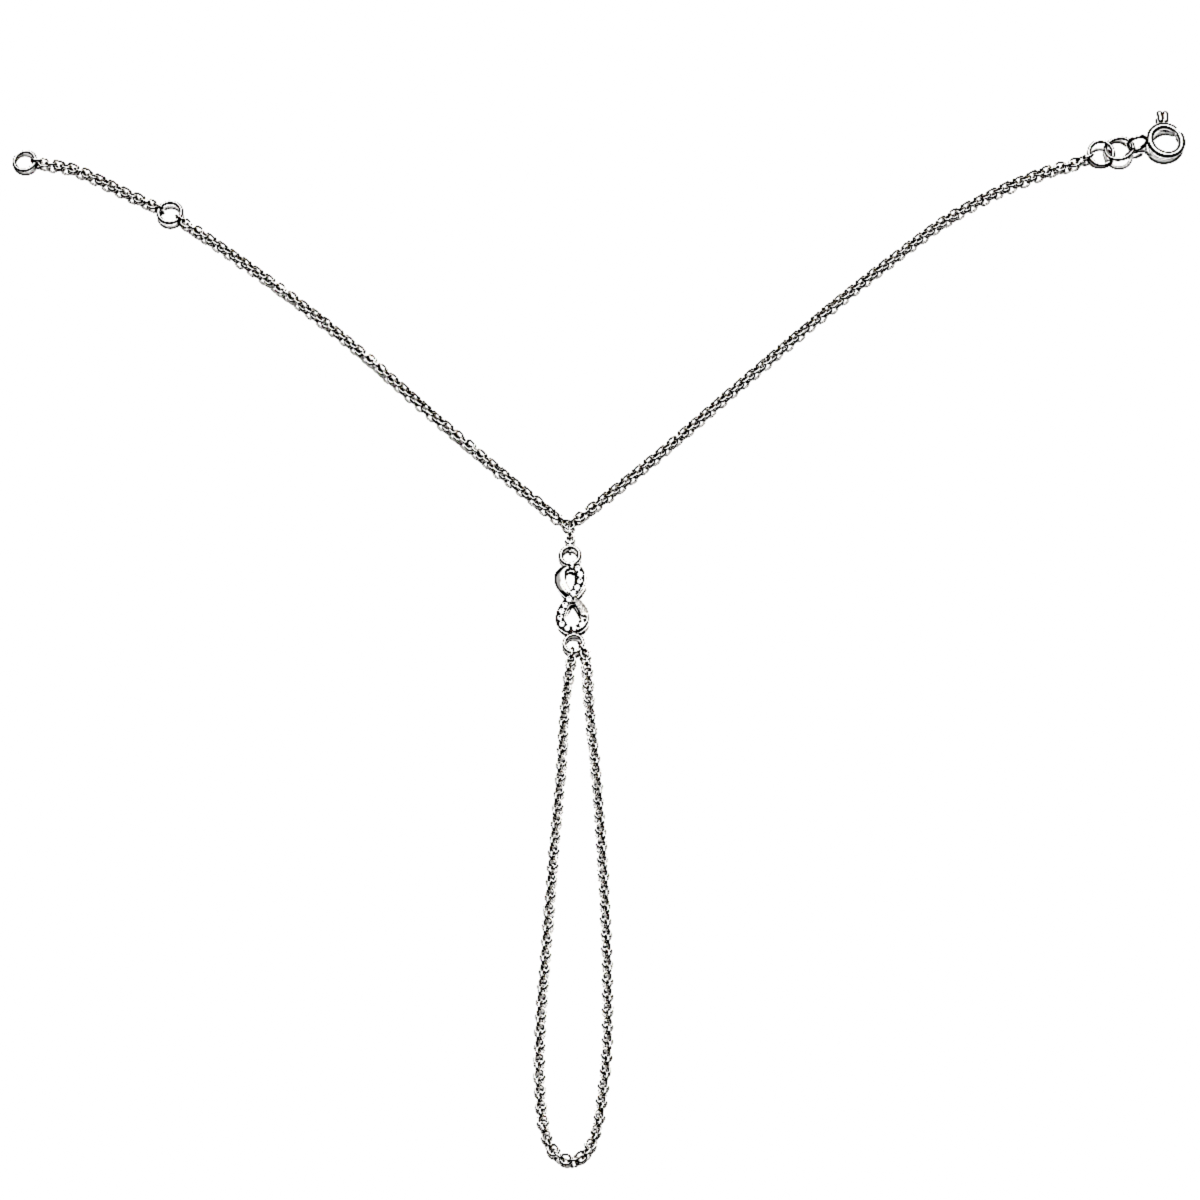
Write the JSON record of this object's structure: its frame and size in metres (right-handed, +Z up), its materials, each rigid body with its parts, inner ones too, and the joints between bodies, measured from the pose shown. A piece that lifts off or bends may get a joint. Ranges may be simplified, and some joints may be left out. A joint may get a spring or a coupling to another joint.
{
  "type": "hand chain with infinity charm",
  "caption": "Fine cable-link hand chain: wrist chain with extender and spring ring clasp, stone-set infinity ornament on a short drop, and a chain loop for a finger.",
  "frame": {"origin": "centre of the outline of the part as it lies, on the table", "axes": "+Z up from the table, +X to the clasp's end of the wrist chain, +Y from the finger loop to the wrist chain"},
  "size_m": [0.149, 0.1398, 0.0029],
  "materials": {
    "chain_silver": "polished, rhodium-plated silver wire",
    "ring_silver": "polished, rhodium-plated silver wire",
    "clasp_silver": "polished, rhodium-plated silver tube",
    "charm_silver": "polished, rhodium-plated cast silver",
    "stone": "clear, round brilliant-cut stones"
  },
  "bodies": {
    "hand_chain": {"end_ring": "ring_silver", "extender_chain": "chain_silver", "size_ring": "ring_silver", "wrist_chain_left": "chain_silver", "wrist_chain_right": "chain_silver", "joining_ring_inner": "ring_silver", "joining_ring_outer": "ring_silver", "clasp_case": "clasp_silver", "drop_chain": "chain_silver", "infinity_charm": "charm_silver", "finger_chain": "chain_silver"},
    "clasp_tongue": {"clasp_slider": "clasp_silver"}
  },
  "joints": [
    {"name": "tongue_slide", "type": "hinge", "parent": "hand_chain", "child": "clasp_tongue", "pos_m": [0.072, 0.06564, 0.00079], "axis": [0.1702, 0, 0.9854], "range_deg": [0, 36], "stiffness_Nm_per_rad": 0.001, "springref_deg": -11.46}
  ]
}
